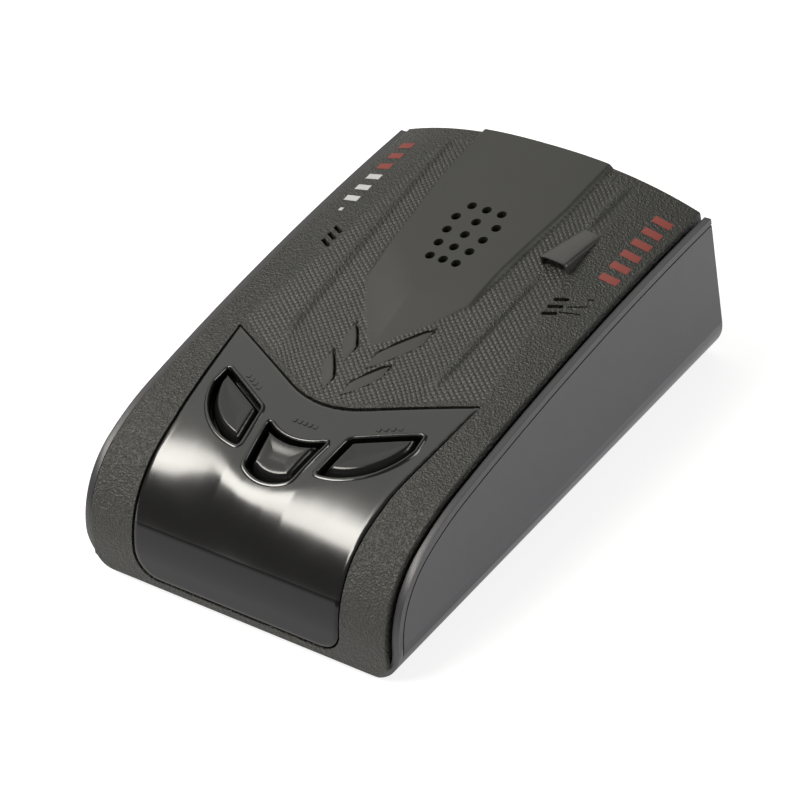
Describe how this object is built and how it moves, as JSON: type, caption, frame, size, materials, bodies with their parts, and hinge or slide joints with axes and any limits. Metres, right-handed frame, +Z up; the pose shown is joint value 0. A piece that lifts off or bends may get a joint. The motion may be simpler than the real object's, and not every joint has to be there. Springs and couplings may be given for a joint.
{
  "type": "radar detector",
  "caption": "Wedge-shaped dashboard radar detector with a crowned textured cover, glossy black fascia with sprung buttons, smoked display window and a side power socket.",
  "frame": {"origin": "middle of the footprint, on the surface that the feet stand on", "axes": "+X to the right side, +Y from the display end to the rear, +Z up"},
  "size_m": [0.075, 0.1088, 0.0395],
  "materials": {
    "case_satin": "satin",
    "cover_textured": "grained and knurled, matte",
    "fascia_gloss": "polished black",
    "window_smoked": "smoked, polished",
    "scoop_satin": "satin",
    "lens_dark": "dark infrared-pass plastic, polished",
    "sensor_epoxy": "clear-dyed epoxy",
    "circuit_board": "solder mask",
    "cast_zinc": "as cast",
    "tinned_steel": "tin plated",
    "screw_steel": "zinc plated",
    "chip_black": "moulded",
    "capacitor_sleeve": "shrunk sleeve",
    "display_body": "moulded",
    "display_amber": "lit segments",
    "cable_grey": "ribbed film",
    "nylon_white": "moulded nylon",
    "switch_black": "moulded",
    "speaker_metal": "painted",
    "speaker_film": "pressed film",
    "foam_black": "open-cell foam",
    "socket_black": "moulded",
    "foot_rubber": "moulded rubber",
    "label_silver": "brushed film, blank",
    "button_gloss": "polished edge, satin top"
  },
  "bodies": {
    "root": {"lower_case": "case_satin", "top_cover": "cover_textured", "control_fascia": "fascia_gloss", "display_window": "window_smoked", "sensor_scoop": "scoop_satin", "scoop_lens": "lens_dark", "rear_sensor_lens": "lens_dark", "front_photodiode": "sensor_epoxy", "scoop_photodiode": "sensor_epoxy", "main_board": "circuit_board", "horn_antenna": "cast_zinc", "horn_lid": "tinned_steel", "horn_lid_screws": "screw_steel", "mixer_board": "circuit_board", "shield_can": "tinned_steel", "board_chips": "chip_black", "capacitors": "capacitor_sleeve", "display_board": "circuit_board", "display_module": "display_body", "display_segments": "display_amber", "ribbon_cable": "cable_grey", "button_board": "circuit_board", "button_board_stand": "nylon_white", "switch_bodies": "switch_black", "speaker_frame": "speaker_metal", "speaker_magnet": "speaker_metal", "speaker_cone": "speaker_film", "speaker_gasket": "foam_black", "power_jack": "socket_black", "rubber_feet": "foot_rubber", "rating_plate": "label_silver", "case_screws": "screw_steel", "board_screws": "screw_steel"},
    "button_left": {"button_left": "button_gloss", "switch_plunger_left": "nylon_white"},
    "button_centre": {"button_centre": "button_gloss", "switch_plunger_centre": "nylon_white"},
    "button_right": {"button_right": "button_gloss", "switch_plunger_right": "nylon_white"}
  },
  "joints": [
    {"name": "press_left", "type": "slide", "parent": "root", "child": "button_left", "axis": [0, 0.2079, -0.9781], "range_m": [0, 0.0005], "stiffness_N_per_m": 800, "springref_m": -0.0003},
    {"name": "press_centre", "type": "slide", "parent": "root", "child": "button_centre", "axis": [0, 0.2079, -0.9781], "range_m": [0, 0.0005], "stiffness_N_per_m": 800, "springref_m": -0.0003},
    {"name": "press_right", "type": "slide", "parent": "root", "child": "button_right", "axis": [0, 0.2079, -0.9781], "range_m": [0, 0.0005], "stiffness_N_per_m": 800, "springref_m": -0.0003}
  ]
}
